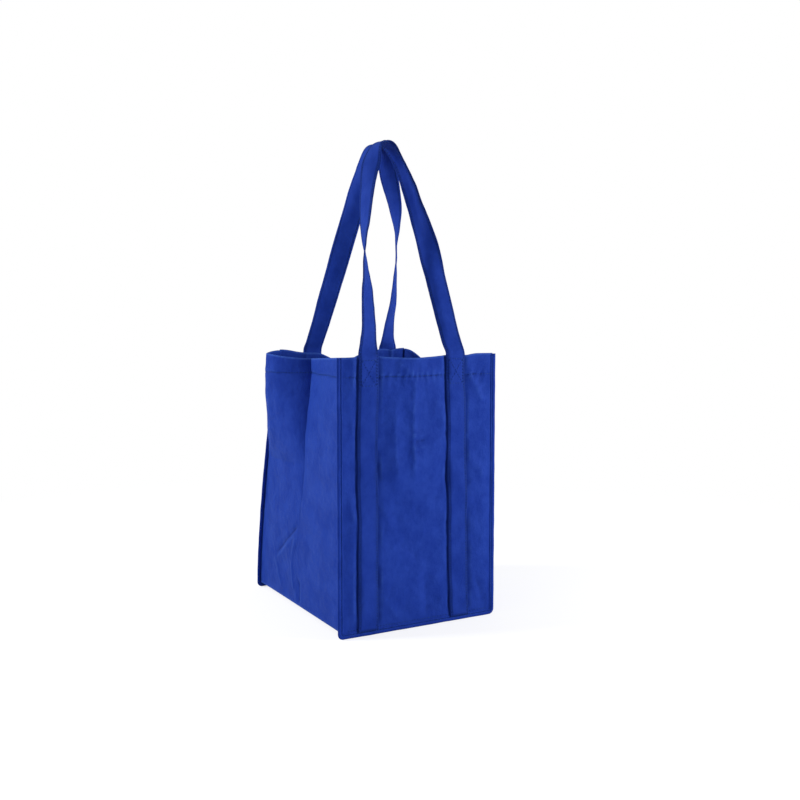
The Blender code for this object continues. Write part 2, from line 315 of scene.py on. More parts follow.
# %% [markdown]
# ## Slack and folds
#
# A pressed fold is a line with a start, an end, a width and a height, and a valley has a
# negative height. The panels get a short list each. Under them runs soft noise: long swells
# for the slack, and shorter ones for the crumple that non-woven cloth keeps.

# %% Slack fields
# A fold is across and up at each end, half width and height, all in millimetres.
FRONT_FOLDS = (
    (-8.5, 322, -8.4, 170, 4.5, 1.1), (-34, 328, -8, 306, 7, 1.2),
    (-24, 300, -10, 252, 8, 1.0), (70, 314, 93, 268, 8, 1.5), (64, 216, 95, 176, 9, 1.2),
    (9, 72, 13, 10, 11, -1.6), (24, 66, 36, 12, 9, 1.0), (-35, 290, -31, 165, 15, 2.6),
    (-22, 238, 8, 234, 4, 0.8), (-18, 228, 10, 229, 4, -0.8), (-14, 219, 12, 222, 4, 0.6),
    (-101, 290, -87, 236, 7, 1.0), (-100, 186, -86, 134, 7, 1.1), (-52, 156, -32, 114, 9, 0.9),
    (18, 288, 42, 232, 11, 1.1), (72, 126, 100, 92, 9, 1.0), (-52, 48, -28, 10, 9, 1.1),
    (82, 52, 99, 12, 7, -1.1), (-30, 108, 4, 84, 12, -0.9), (38, 190, 20, 150, 12, -0.9))
# The cloth sinks beside a strap's left and right edge: (front or back, left or right strap).
STRAP_GROOVES = {(-1, -1): (2.0 * MM, 3.0 * MM), (-1, 1): (2.6 * MM, 2.8 * MM),
                 (1, -1): (1.6 * MM, 1.6 * MM), (1, 1): (1.6 * MM, 1.6 * MM)}
BACK_FOLDS = (
    (5, 312, 3, 96, 4, -0.9), (-48, 300, -14, 262, 10, -1.4), (54, 300, 24, 258, 10, -1.3),
    (-92, 300, -74, 236, 8, 1.1), (94, 304, 80, 250, 8, 1.0), (-30, 200, 10, 176, 9, 0.9),
    (88, 150, 70, 96, 8, 0.8), (-86, 120, -66, 70, 8, -0.8), (20, 90, 44, 40, 9, 0.7))


def folded(s, z, folds):
    total = 0.0 * s
    for s0, z0, s1, z1, width, height in folds:
        felt = along_fold(s, z, (s0 * MM, z0 * MM), (s1 * MM, z1 * MM), width * MM)
        total = total + felt * height * MM
    return total


def crumpled(s, z, seed, heights, sizes):
    """Noise of three sizes: long swells, the crumple that the cloth keeps, and a fine one."""
    return sum(height * wander(s, z, size * MM, seed + k)
               for k, (height, size) in enumerate(zip(heights, sizes)))


def hem_step(z):
    """The doubled hem stands a little proud, above the groove that its stitching pulls."""
    return (0.35 * MM * ease((z - HEM_SEAM) / (1.2 * MM))
            - 0.45 * MM * np.exp(-((z - HEM_SEAM) / (1.8 * MM)) ** 2))


def panel_slack(sign, folds, seed, swell, middle_fold):
    def slack(s, z):
        held = ease((HALF_WIDTH - np.abs(s)) / (16 * MM)) * ease((z - FOOT) / (14 * MM))
        middle = sign * 8.4 * MM
        tent = np.clip(1 - np.abs(s - middle) / (44 * MM), 0, 1)
        tent = tent * ease((z - 110 * MM) / (90 * MM))
        field = swell * middle_fold * tent + folded(s, z, folds)
        for side in (-1, 1):
            for edge, depth in zip((-1, 1), STRAP_GROOVES[sign, side]):
                line = strap_middle(sign, side, z) + edge * (STRAP_WIDTH / 2 + 0.6 * MM)
                pull = 0.6 + 0.4 * wander(0 * s, z, 33 * MM, seed + 5 + side + 3 * edge)
                field -= depth * pull * np.exp(-((s - line) / (2.6 * MM)) ** 2)
        field += crumpled(s, z, seed, (0.75 * swell, 0.62 * MM, 0.20 * MM), (62, 22, 8))
        pucker = np.sin(s * 2 * math.pi / (8.5 * MM) + 3 * wander(s, z, 40 * MM, seed + 3))
        pucker = 0.5 * MM * pucker * np.exp(-(np.abs(z - HEM_SEAM) / (7 * MM)))
        return (field + hem_step(z) + pucker) * held
    return slack


# %% Make the panels
PANEL_FOOT = 4.5 * MM
panel_columns = np.linspace(-HALF_WIDTH - 1.5 * MM, HALF_WIDTH + 1.5 * MM, 91)
front_wall = Wall(panel_columns, up_stations(), front_plain,
                  panel_slack(-1, FRONT_FOLDS, 1, 2.0 * MM, 1), front_rim, PANEL_FOOT)
back_wall = Wall(panel_columns, up_stations(), back_plain,
                 panel_slack(1, BACK_FOLDS, 11, 2.2 * MM, -1), back_rim, PANEL_FOOT)
panels = []
for name, wall in (("front_panel", front_wall), ("back_panel", back_wall)):
    points, uv = hemmed(wall)
    panel = solidify(grid_mesh(name + "_cloth", points, uv), CLOTH)
    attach(panel, "bag")
    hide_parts(name)
    panels.append(panel)
    print(panel.name, "has", len(panel.data.polygons), "faces")

# %% [markdown]
# ## The side gussets
#
# A gusset is folded in down its middle when the tote is packed flat, and open it keeps that
# crease: shallow at the foot and deep at the rim. Its plan is drawn at every height. From the
# front seam it runs straight to the crease, and behind the crease the slack cloth bellies out
# past the back seam before it turns in to it. Low down the fold ends in a slanted crease, and
# the cloth below that is flat.

# %% The gusset in plan
def fold_depth(z):
    return 21.2 * MM * np.clip((z - 95 * MM) / (235 * MM), 0, 1) ** 0.9


def ear_reach(z):
    share = np.clip((z - 190 * MM) / (140 * MM), 0, 1)
    return 15.4 * MM * (1 - (1 - share) ** 2)


GUSSET_X, GUSSET_FOOT, GUSSET_GIRTH = 103.6 * MM, 7.6 * MM, 272 * MM
SEAM_INSET = 1.2 * MM
CREASE_COLUMN = 0.36  # where the crease is, as a share of the columns
gusset_share = np.concatenate([np.linspace(0, CREASE_COLUMN - 0.02, 40),
                               np.linspace(CREASE_COLUMN - 0.016, CREASE_COLUMN + 0.016, 9),
                               np.linspace(CREASE_COLUMN + 0.02, 1, 84)])


def gusset_plain(s, z):
    """Right gusset. s is the share of its columns, from the front seam to the back seam."""
    front_y = -HALF_DEPTH + SEAM_INSET
    back_y = HALF_DEPTH - BACK_LEAN * rise(z) - SEAM_INSET
    depth = fold_depth(z)
    a = np.clip(s / CREASE_COLUMN, 0, 1)
    t = np.clip((s - CREASE_COLUMN) / (1 - CREASE_COLUMN), 0, 1)
    corner_x = HALF_WIDTH - BACK_INSET * rise(z) + 0.6 * MM
    xs = (GUSSET_X - depth, GUSSET_X + 1.1 * ear_reach(z), GUSSET_X + 2.7 * ear_reach(z),
          corner_x)
    ys = (0 * z, 0.13 * back_y, 0.86 * back_y, back_y)
    weights = ((1 - t) ** 3, 3 * t * (1 - t) ** 2, 3 * t * t * (1 - t), t ** 3)
    x = np.where(t > 0, sum(w * p for w, p in zip(weights, xs)), GUSSET_X - depth * a)
    y = np.where(t > 0, sum(w * p for w, p in zip(weights, ys)), front_y * (1 - a))
    x = x + 1.0 * MM * ease(1 - s / 0.02)
    return np.stack([x, y, z + 0 * s], axis=-1)


def gusset_rim(at_crease, at_ear):
    def rim(s):
        a = np.clip(s / CREASE_COLUMN, 0, 1)
        t = np.clip((s - CREASE_COLUMN) / (1 - CREASE_COLUMN), 0, 1)
        low = at_crease + (at_ear - at_crease) * ease(t / 0.7)
        high = -at_ear + (4 * MM + at_ear) * ease((t - 0.7) / 0.3)
        return RIM + np.where(t > 0.7, high, np.where(t > 0, -low, -at_crease * a))
    return rim


# %% Its folds
# They are written as the panels' are, with the way back from the crease in place of across.
GUSSET_FOLDS = (
    (-4, 115, 80, 57, 6.5, -2.7), (2, 104, 84, 46, 13, 2.0), (80, 58, 54, 14, 3, 0.8),
    (4, 98, 22, 65, 5, 1.3), (22, 66, 14, 20, 5, 1.4), (1, 46, -2, 2, 9, -2.4),
    (-7, 40, -9, 6, 5, 0.9), (60, 250, 84, 190, 10, 0.9), (-60, 96, -30, 60, 12, 0.7),
    (40, 300, 52, 250, 9, -0.8), (-108, 300, -84, 262, 9, 0.6), (-96, 60, -70, 20, 9, 0.6),
    (66, 150, 96, 118, 9, 0.8), (-40, 200, -14, 168, 8, 0.5))


def gusset_slack(seed):
    def slack(s, z):
        y = gusset_plain(s, z)[..., 1]
        ends = ease(s / 0.05) * ease((1 - s) / 0.05) * ease((z - 8 * MM) / (8 * MM))
        field = folded(y, z, GUSSET_FOLDS) + hem_step(z)
        field += crumpled(y, z, seed, (1.2 * MM, 0.55 * MM, 0.17 * MM), (66, 22, 8))
        return field * ends
    return slack


# %% Make the gussets
TUCK_REACH, TUCK_RADIUS = 5 * MM, 1.6 * MM


def tucked_under(wall, points, uv):
    """Adds rows at the foot, where the gusset turns under and meets the bottom panel."""
    edge, out = wall.points[:, 0], unit(wall.normals[:, 0] * np.array((1.0, 1.0, 0.0)))
    rows, drops = [], []
    for angle in (math.pi / 2, math.pi / 3, math.pi / 6):
        rows.append(edge - out * TUCK_RADIUS * (1 - math.cos(angle))
                    - np.array((0, 0, TUCK_RADIUS * math.sin(angle))))
        drops.append(TUCK_RADIUS * angle)
    extra = np.stack([rows[0] - out * TUCK_REACH] + rows, axis=1)
    heights = wall.z[:, :1] - np.array([TUCK_REACH + drops[0]] + drops)
    flat = np.stack([np.repeat(uv[:, :1, 0], 4, axis=1), heights], axis=-1)
    return np.concatenate([extra, points], axis=1), np.concatenate([flat, uv], axis=1)


gusset_walls = {}
for hand, side, drops in (("left", -1, (5 * MM, -1 * MM)), ("right", 1, (10 * MM, 14 * MM))):
    wall = Wall(gusset_share, up_stations(), gusset_plain, gusset_slack(30 + side),
                gusset_rim(*drops), GUSSET_FOOT, (1.0, 0, 0))
    points, uv = tucked_under(wall, *hemmed(wall))
    uv = uv * np.array((GUSSET_GIRTH, 1.0))
    points = points * np.array((side, 1.0, 1.0))
    if side < 0:
        points, uv = points[::-1], uv[::-1]
    gusset = solidify(grid_mesh(hand + "_gusset_cloth", points, uv), CLOTH)
    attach(gusset, "bag")
    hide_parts(hand + "_gusset")
    panels.append(gusset)
    gusset_walls[hand] = wall
    print(gusset.name, "rises to", round(points[..., 2].max() / MM, 1), "mm")

# %% [markdown]
# ## The non-woven cloth
#
# Spun-bonded polypropylene is a mat of fine fibres, pinned together by rows of small fused
# dots about a millimetre apart. The fibres scatter light softly, the dots are smoother and a
# little darker, and the mat is never quite even, so the blue is cloudy. Folds rub pale. The
# dots are a Voronoi texture with no randomness, laid out in metres of cloth through the UVs,
# so they follow every fold and keep their real size.

# %% A small kit for nodes
def comes_from_a_node(value):
    return hasattr(value, "is_linked")


class Finish:
    """A Principled material, and short calls that add a node and link it."""

    def __init__(self, name, roughness, sheen=0.0):
        self.material = bpy.data.materials.new(name)
        self.material.use_nodes = True
        self.tree = self.material.node_tree
        self.shader = self.tree.nodes["Principled BSDF"]
        self.shader.inputs["Roughness"].default_value = roughness
        self.shader.inputs["Specular IOR Level"].default_value = 0.05
        self.shader.inputs["Specular Tint"].default_value = (0.35, 0.65, 1.0, 1)
        self.shader.inputs["Sheen Tint"].default_value = (0.35, 0.90, 1.0, 1)
        self.shader.inputs["Sheen Weight"].default_value = sheen
        self.shader.inputs["Sheen Roughness"].default_value = 0.45

    def add(self, kind, links=None, **settings):
        node = self.tree.nodes.new("ShaderNode" + kind)
        for key, value in settings.items():
            setattr(node, key, value)
        for key, value in (links or {}).items():
            if comes_from_a_node(value):
                self.tree.links.new(value, node.inputs[key])
            else:
                node.inputs[key].default_value = value
        return node

    def noise(self, place, scale, detail, **more):
        inputs = {"Vector": place, "Scale": scale, "Detail": detail, **more}
        return self.add("TexNoise", inputs).outputs["Fac"]

    def fade(self, value, low, high, to_low=0.0, to_high=1.0):
        made = self.add("MapRange", {"Value": value, "From Min": low, "From Max": high,
                                     "To Min": to_low, "To Max": to_high},
                        interpolation_type="SMOOTHSTEP")
        return made.outputs["Result"]

    def blend(self, share, first, second):
        first, second = (color if comes_from_a_node(color) else (*color, 1)
                         for color in (first, second))
        inputs = {"Factor": share, 6: first, 7: second}
        return self.add("Mix", inputs, data_type="RGBA").outputs[2]

    def maths(self, operation, first, second):
        return self.add("Math", {0: first, 1: second}, operation=operation).outputs[0]

    def attribute(self, name):
        return self.add("Attribute", attribute_name=name,
                        attribute_type="GEOMETRY").outputs["Fac"]

    def bump(self, height):
        inputs = {"Height": height, "Strength": 1.0, "Distance": 1.0}
        return self.add("Bump", inputs).outputs["Normal"]

    def use(self, color=None, roughness=None, normal=None):
        for key, value in (("Base Color", color), ("Roughness", roughness), ("Normal", normal)):
            if value is not None:
                self.tree.links.new(value, self.shader.inputs[key])
        return self.material


# %% The cloth itself
DOT_PITCH, BLACK = 1.25 * MM, (0.0, 0.0, 0.0)


def toward(color, other, share):
    return tuple(a + (b - a) * share for a, b in zip(color, other))


def bonded_cloth(name, light, dark, worn, seed, crumple=1.0):
    kit = Finish(name, 0.62, 0.06)
    uv = kit.add("UVMap", uv_map="cloth").outputs["UV"]
    uv = kit.add("VectorMath", {0: uv, 1: (seed * 0.37, seed * 0.61, 0)},
                 operation="ADD").outputs[0]
    turned = kit.add("Mapping", {"Vector": uv, "Rotation": (0, 0, math.radians(45)),
                                 "Scale": (1 / DOT_PITCH, 1 / DOT_PITCH, 1)})
    dot = kit.add("TexVoronoi", {"Vector": turned.outputs[0], "Scale": 1.0, "Randomness": 0.0},
                  feature="F1", voronoi_dimensions="2D")
    mat = kit.fade(dot.outputs["Distance"], 0.16, 0.34)
    cloud = kit.noise(uv, 38.0, 5.0, Roughness=0.62)
    fibre = kit.noise(uv, 1500.0, 3.0, Distortion=1.5)
    fleck = kit.noise(uv, 420.0, 2.0)
    soft = kit.noise(uv, 120.0, 3.0)
    color = kit.blend(kit.fade(cloud, 0.34, 0.66), dark, light)
    color = kit.blend(kit.fade(fleck, 0.30, 0.72, 0.0, 0.55), color, toward(light, dark, 0.5))
    color = kit.blend(kit.fade(mat, 0.0, 1.0, 0.30, 0.0), color, toward(dark, BLACK, 0.4))
    broken = kit.maths("MULTIPLY", kit.attribute("rubbed"),
                       kit.fade(fleck, 0.25, 0.65, 0.45, 1.0))
    color = kit.blend(broken, color, worn)
    # Painted shade: the creases are darkened towards black, where shade falls in them.
    color = kit.blend(kit.attribute("creased"), color, toward(dark, BLACK, 0.65))
    height = kit.maths("MULTIPLY", mat, 0.07 * MM)
    height = kit.maths("ADD", height, kit.maths("MULTIPLY", fibre, 0.05 * MM))
    height = kit.maths("ADD", height, kit.maths("MULTIPLY", soft, 0.9 * MM * crumple))
    return kit.use(color, kit.fade(mat, 0.0, 1.0, 0.46, 0.66), kit.bump(height))


ROYAL, DEEP, RUBBED = (0.0160, 0.0470, 0.330), (0.0095, 0.0320, 0.270), (0.050, 0.125, 0.490)
panel_cloth = [bonded_cloth("panel_cloth_%d" % k, ROYAL, DEEP, RUBBED, k) for k in range(4)]
strap_cloth = bonded_cloth("strap_cloth", (0.0150, 0.0440, 0.318), DEEP, RUBBED, 7, 0.7)
tape_cloth = bonded_cloth("tape_cloth", (0.013, 0.041, 0.325), (0.008, 0.028, 0.250), RUBBED,
                          8, 0.7)
divider_cloth = bonded_cloth("divider_cloth", (0.013, 0.041, 0.33), DEEP, RUBBED, 9, 0.8)
print("finishes:", [m.name for m in bpy.data.materials if "cloth" in m.name])


# %% [markdown]
# ## Where folds have rubbed, and painted shade in the creases
#
# Wear belongs on ridges, and a ridge is where the surface curves away on both sides. Pressed
# valleys get painted shade: their blue is darkened towards black there. The grid's own
# curvature says where both are, so the wear and the painted shade are measured from the shape.

# %% Mark the ridges
def mark_wear_and_crease_shade(piece, rub=1.0, crease_shade=1.0):
    """Stores the wear on ridges and the painted shade in creases at each point, as shares."""
    mesh = piece.data
    count = len(mesh.vertices)
    co, normal = np.empty(count * 3), np.empty(count * 3)
    mesh.vertices.foreach_get("co", co)
    mesh.vertices.foreach_get("normal", normal)
    co, normal = co.reshape(-1, 3), normal.reshape(-1, 3)
    ends = np.empty(len(mesh.edges) * 2, np.int32)
    mesh.edges.foreach_get("vertices", ends)
    a, b = ends.reshape(-1, 2).T
    span = co[b] - co[a]
    length = np.maximum(np.linalg.norm(span, axis=1), 1e-6)
    sharp, near = np.zeros(count), np.zeros(count)
    for here, way in ((a, 1.0), (b, -1.0)):
        away = -np.sum(span * normal[here], axis=1) * way / length ** 2
        np.add.at(sharp, here, away)
        np.add.at(near, here, 1)
    outward = np.sign(np.sum(normal * (co - np.array(INSIDE)), axis=1).mean())
    sharp = sharp / np.maximum(near, 1) * outward
    for name, value, low, full, share in (("rubbed", sharp, 16, 150, rub),
                                          ("creased", -sharp, 12, 90, crease_shade)):
        felt = np.clip((value - low) / full, 0, 0.55) * share
        held = mesh.attributes.new(name, "FLOAT", "POINT")
        held.data.foreach_set("value", felt.astype(np.float32))
    return float(felt.mean())


for k, panel in enumerate(panels):
    panel.data.materials.append(panel_cloth[k])
    print(panel.name, "mean crease", round(mark_wear_and_crease_shade(panel), 3))

# %% [markdown]
# ## The taped seam ridges
#
# The seams between the panels and the gussets are turned outwards and bound in a folded strip
# of the same cloth, so each big panel has a raised border down both sides and along the foot.
# The strip is one ribbon of constant section. It is swept along a path that runs down one
# side, round a 7 mm corner, along the foot and up again.

# %% The border's path
BORDER, CORNER = 6 * MM, 7 * MM
BORDER_INSET = CORNER - BORDER


def border_rows(plain, top):
    """x, z and turn of each row. The turn is how far the border has swung from sideways to
    down, and x and z are the middle of the corner's bend, slid along the straight runs."""
    rows = [(plain(HALF_WIDTH, z)[0] - BORDER_INSET, z, 0) for z in np.linspace(top, CORNER, 80)]
    rows += [(HALF_WIDTH - BORDER_INSET, CORNER, turn)
             for turn in np.linspace(0, math.pi / 2, 9)[1:-1]]
    rows += [(x, CORNER, math.pi / 2)
             for x in np.linspace(HALF_WIDTH - BORDER_INSET, 0, 27)]
    return np.array(rows + [(-x, z, math.pi - turn) for x, z, turn in reversed(rows[:-1])])


class Border:
    """Where any point of a panel's border is: across from the sewn edge, and proud of it. The
    front panel's right corner stands up a little, and its border goes with it."""

    def __init__(self, sign, plain, top, seed, right_lift=0.0):
        x, z, turn = border_rows(plain, top).T
        z = z + (x > 0) * right_lift * ease(1 - (top - z) / (40 * MM))
        self.way = np.stack([np.cos(turn), 0 * turn, -np.sin(turn)], axis=-1)
        self.middle = np.stack([x, plain(0 * z, z)[:, 1], z], axis=-1)
        fall = (plain(0 * z, z + MM)[:, 1] - plain(0 * z, z)[:, 1]) / MM
        self.out = unit(np.stack([0 * z, sign + 0 * z, -sign * fall], axis=-1))
        steps = np.linalg.norm(np.diff(self.middle + self.way * 3 * MM, axis=0), axis=1)
        self.travelled = np.concatenate([[0], np.cumsum(steps)])
        self.sway = 0.25 * MM * wander(self.travelled, 0 * z, 30 * MM, seed)
        self.edge = 0.16 * MM * wander(self.travelled, 0 * z, 17 * MM, seed + 1)

    def at(self, across, proud):
        reach = (BORDER_INSET + across + self.edge * (across > 0))[:, None]
        return self.middle + self.way * reach + self.out * (proud + self.sway)[:, None]


# %% The tape
TAPE_SECTION = (  # across from the panel's sewn edge, and proud of its middle, in millimetres
    (-0.9, 0.55), (-0.4, 0.95), (0.3, 1.05), (0.9, 0.72), (1.3, 0.42), (1.7, 0.72), (2.3, 1.10),
    (3.6, 1.12), (4.8, 1.02), (5.6, 0.70), (5.95, 0.25))


def seam_ridge(name, border):
    section = [(a * MM, b * MM) for a, b in TAPE_SECTION]
    section += [(a, -b) for a, b in reversed(section)]
    grid = np.array([border.at(a, b) for a, b in section])
    girth = np.cumsum([0] + [math.dist(p, q) for p, q in zip(section, section[1:])])
    uv = np.stack(np.broadcast_arrays(girth[:, None], border.travelled[None, :]), axis=-1)
    ridge = grid_mesh(name + "_tape", grid, uv, closed=True)
    ridge.data.materials.append(tape_cloth)
    mark_wear_and_crease_shade(ridge, 0.1, 1.0)
    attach(ridge, "bag")
    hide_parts(name)
    print(ridge.name, "runs", round(border.travelled[-1], 2), "m round its panel")


front_border = Border(-1, front_plain, RIM + 0.3 * MM, 51, 2.4 * MM)
back_border = Border(1, back_plain, RIM + 4.7 * MM, 61)
seam_ridge("front_seam_ridge", front_border)
seam_ridge("back_seam_ridge", back_border)

# %% [markdown]
# ## The straps and handles
#
# Each panel has one long strap: it runs up the panel from the foot seam, leaves it at the rim
# as a free loop, and comes down the other side. The strap is a band of cloth folded over
# itself and stitched down both edges, 27 mm wide. The loops are bent up towards each other,
# and each leg turns from flat on the panel to on edge at the top. One ribbon per panel keeps
# that run unbroken. Below the rim it takes its place from the panel's own dents, above it from
# the loop's line, and around the rim it passes smoothly from one to the other.

# %% The loop's line in its own plane
HANDLE_REACH, TAPER, SQUARE = 281 * MM, 0.53, 6.5
MEETING_GAP, FOLD_SLACK = 0.4 * MM, 0.2 * MM


def handle_half(count=84):
    """Across and up, from the foot of a leg to the top, closer together near the top."""
    angle = math.pi / 2 * np.linspace(0, 1, 600) ** 3
    climb = np.sin(angle) ** (2 / SQUARE)
    across = STRAP_SPACING / 2 * (1 - TAPER * climb) * np.cos(angle)
    up = climb * HANDLE_REACH
    travelled = np.concatenate([[0], np.cumsum(np.hypot(np.diff(across), np.diff(up)))])
    goal = travelled[-1] * (1 - np.linspace(1, 0, count) ** 1.3)
    return np.interp(goal, travelled, across), np.interp(goal, travelled, up)


# %% [markdown]
# ## How a leg turns
#
# A leg neither rises evenly nor turns evenly. Both loops are swung round a little by whoever
# last held them, so the front left and back right legs curl soon after they leave the rim and
# turn past on edge. The other two hang nearly straight for a hand's width and only roll over
# near the top. Each leg has a few values of its own, chosen by holding its two edges against
# the photo. It also has a soft crease along its length, from lying folded, which is a hollow
# where its depth is above zero and a ridge below, and may pass from one to the other.

# %% How each leg hangs
# (front or back, left or right): rows of share of the height, drift in mm and turn in degrees.
LEGS = {
    (-1, -1): ((0, 0, 0), (0.05, 1, 18), (0.1, 2.5, 28), (0.3, 3, 39), (0.4, 2.5, 54),
               (0.55, 3, 83), (0.65, 5, 96), (0.75, 7, 105), (0.9, 9.5, 128), (1, 7.5, 90)),
    (-1, 1): ((0, 0, 0), (0.05, -1, 8), (0.15, 0, 11), (0.38, 2.5, 16), (0.55, 3.5, 58),
              (0.65, 4.5, 70), (0.78, 7, 78), (0.9, 8.5, 92), (1, 7.5, 90)),
    (1, -1): ((0, 4, 0), (0.05, 4.5, -4), (0.15, 6, -4), (0.4, 9.5, 12), (0.6, 11.5, 37),
              (0.7, 11, 46), (0.85, 7, 67), (0.93, 1.5, 80), (1, -3, 90)),
    (1, 1): ((0, 0, 0), (0.05, -1, 24), (0.1, 0, 29), (0.25, 5, 45), (0.4, 6, 56), (0.57, 4, 68),
             (0.7, 1, 101), (0.75, -1.5, 111), (0.85, -7, 128), (0.93, -8, 122), (1, -3, 90))}
# The crease's depth low down and high up, in mm.
CREASE_DEPTHS = {(-1, -1): (1.2, 2), (-1, 1): (-4, 9), (1, -1): (-2, 3.5), (1, 1): (1, -2)}


def leg_shape(sign, side, y):
    """A leg's drift and its turn at a height, from a short moving average of its values."""
    shares = np.clip(y / HANDLE_REACH + np.linspace(-0.025, 0.025, 9), 0, 1)
    height, drift, turn = np.array(LEGS[sign, side]).T
    turned = math.radians(np.interp(shares, height, turn).mean()) * float(ease(y / (6 * MM)))
    return np.interp(shares, height, drift).mean() * MM, turned


# %% The loop's plane
hinges = {joint["child"]: np.array(joint["pos_m"]) for joint in frame["joints"]}


class Loop:
    """One panel's handle: where it folds, which way is up in its plane, and which way is out."""

    def __init__(self, sign, body):
        self.sign, self.body, self.hinge = sign, body, hinges[body]
        middle = (hinges["front_handle"][1] + hinges["back_handle"][1]) / 2
        room = abs(self.hinge[1] - middle) - MEETING_GAP / 2 - STRAP_WIDTH / 2
        inward = STRAP_THICK / 2 + FOLD_SLACK
        lean = math.asin(room / math.hypot(HANDLE_REACH, inward))
        lean -= math.atan2(inward, HANDLE_REACH)
        self.up = np.array((0, -sign * math.sin(lean), math.cos(lean)))
        self.out = np.array((0, sign * math.cos(lean), math.sin(lean)))
        foot = 0.3 * MM + (STRAP_THICK + FOLD_SLACK) * math.tan(lean)
        self.start = self.hinge - self.out * inward + self.up * foot
        self.start[0] = sign * 9.5 * MM
        print(body, "leans", round(math.degrees(lean), 1), "degrees")


# %% The ribbon's middle surface
ACROSS = np.array((-13.5, -13.25, -12.6, -11.8, -11.0, -10.2, -9.0, -5.5, -2, 2, 5.5, 9.0, 10.2,
                   11.0, 11.8, 12.6, 13.25, 13.5)) * MM
BEND_REACH = 15 * MM
SEWN_ROWS = 84


def leg_below(loop, wall, flat_x, side, heights, across, up):
    """Rows up a leg's sewn run and round the rim, where the run turns into the loop."""
    rows = []
    for height in heights:
        z = loop.hinge[2] + height
        x = strap_middle(loop.sign, side, z) - side * ACROSS
        point, normal = wall.at(flat_x(x, z), z)
        sewn = point + normal * (CLOTH / 2 + 0.15 * MM + STRAP_THICK / 2)
        y = max(height, 0.0)
        drift, turn = leg_shape(loop.sign, side, y)
        reach = side * np.interp(y, up, across) + drift
        wide = np.array((-side, 0, 0)) * math.cos(turn) - loop.out * math.sin(turn)
        held = loop.start + np.array((reach, 0, 0)) + loop.up * height + wide * ACROSS[:, None]
        share = float(ease((height + 9 * MM) / (20 * MM)))
        rows.append(sewn * (1 - share) + held * share)
    return rows


def strap_surface(loop, wall, flat_x):
    across, up = handle_half()
    sewn = np.linspace(5.4 * MM - loop.hinge[2], -BEND_REACH, SEWN_ROWS)
    bend = np.linspace(-BEND_REACH, BEND_REACH, 19)[1:-1]
    low = np.concatenate([sewn, bend])
    legs = {side: leg_below(loop, wall, flat_x, side, low, across, up) for side in (-1, 1)}
    line = [(leg_shape(loop.sign, -1, y)[0] - a, y) for a, y in zip(across, up)]
    line += [(leg_shape(loop.sign, 1, y)[0] + a, y) for a, y in zip(across[-2::-1], up[-2::-1])]
    ahead = unit(np.gradient(np.array(line), axis=0))
    arch, last = [], len(up) - 1
    for k, (x, y) in enumerate(line):
        if y <= BEND_REACH:
            continue
        leg = -1 if k <= last else 1
        turn, skew = leg_shape(loop.sign, leg, y)[1], float(ease(y / STRAP_WIDTH))
        side = -leg * (1 + (abs(ahead[k, 1]) - 1) * skew)
        flat = unit(np.array((side, 0, 0)) - loop.up * ahead[k, 0] * skew)
        level_out = np.array((0, loop.sign, 0))
        edge_on = unit(loop.out + (level_out - loop.out) * ahead[k, 0] ** 2)
        wide = flat * math.cos(turn) - edge_on * math.sin(turn)
        place = loop.start + np.array((x, 0, 0)) + loop.up * y
        arch.append(place + wide * ACROSS[:, None])
    return np.array(legs[-1] + arch + legs[1][::-1]).transpose(1, 0, 2)


# %% [markdown]
# ## Giving the ribbon its thickness
#
# The band's two long edges are folds, so it is thinner and rounder there, and the stitch rows
# press a groove into both faces. The grooves are real steps in the section, so light catches
# them along the whole strap.

# %% The section and the finished straps
HALF_FULLNESS = (0.30, 0.72, 0.98, 1.02, 0.52, 1.02, 1.06, 1.0, 0.97)
FULLNESS = np.array(HALF_FULLNESS + HALF_FULLNESS[::-1])


class Strap:
    """One panel's strap: its middle surface, its normals and how far along each row lies."""

    def __init__(self, loop, wall, flat_x, seed):
        self.loop = loop
        grid = strap_surface(loop, wall, flat_x)
        middle = grid[len(ACROSS) // 2]
        steps = np.linalg.norm(np.diff(middle, axis=0), axis=1)
        self.along = np.concatenate([[0], np.cumsum(steps)])
        normals = surface_normals(grid)
        facing = 1 if normals[len(ACROSS) // 2, 2, 1] * loop.sign > 0 else -1
        height = (middle[:, 2] - loop.hinge[2]) / (HANDLE_REACH * loop.up[2])
        loose = ease(height / 0.1)[None, :]
        a, b = np.broadcast_arrays(ACROSS[:, None], self.along[None, :])
        lift = (0.45 * MM * wander(a, b, 24 * MM, seed)
                + 0.16 * MM * wander(a, b, 8 * MM, seed + 1)) * (0.12 + 0.88 * loose)
        fade = ease(height / 0.16) * ease((1 - height) / 0.10)
        for side in (-1, 1):
            here = side * (b - self.along[-1] / 2) > 0
            spot = side * (6 - 5 * ease(height / 0.8))[None, :] * MM
            fold = np.sqrt((a - spot) ** 2 + (2 * MM) ** 2) / STRAP_WIDTH * 2
            low, high = CREASE_DEPTHS[loop.sign, side]
            depth = (low + (high - low) * ease((height - 0.45) / 0.30)) * MM
            lift = lift + np.where(here, depth * (fold - 0.5) * fade[None, :], 0)
        self.grid = grid + normals * facing * lift[..., None]
        self.normals = surface_normals(self.grid) * facing

    def at(self, across, along, proud):
        """Points over the strap and its normals there. along is an array, the others may be."""
        across, along = np.broadcast_arrays(np.asarray(across, float), along)
        i, j = index_at(across, ACROSS), index_at(along, self.along)
        normal = unit(between(self.normals, i, j))
        return between(self.grid, i, j) + normal * proud, normal


def bend_with(piece):
    """Bakes the piece's placement into its mesh; it is attached to no body."""
    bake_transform(piece)


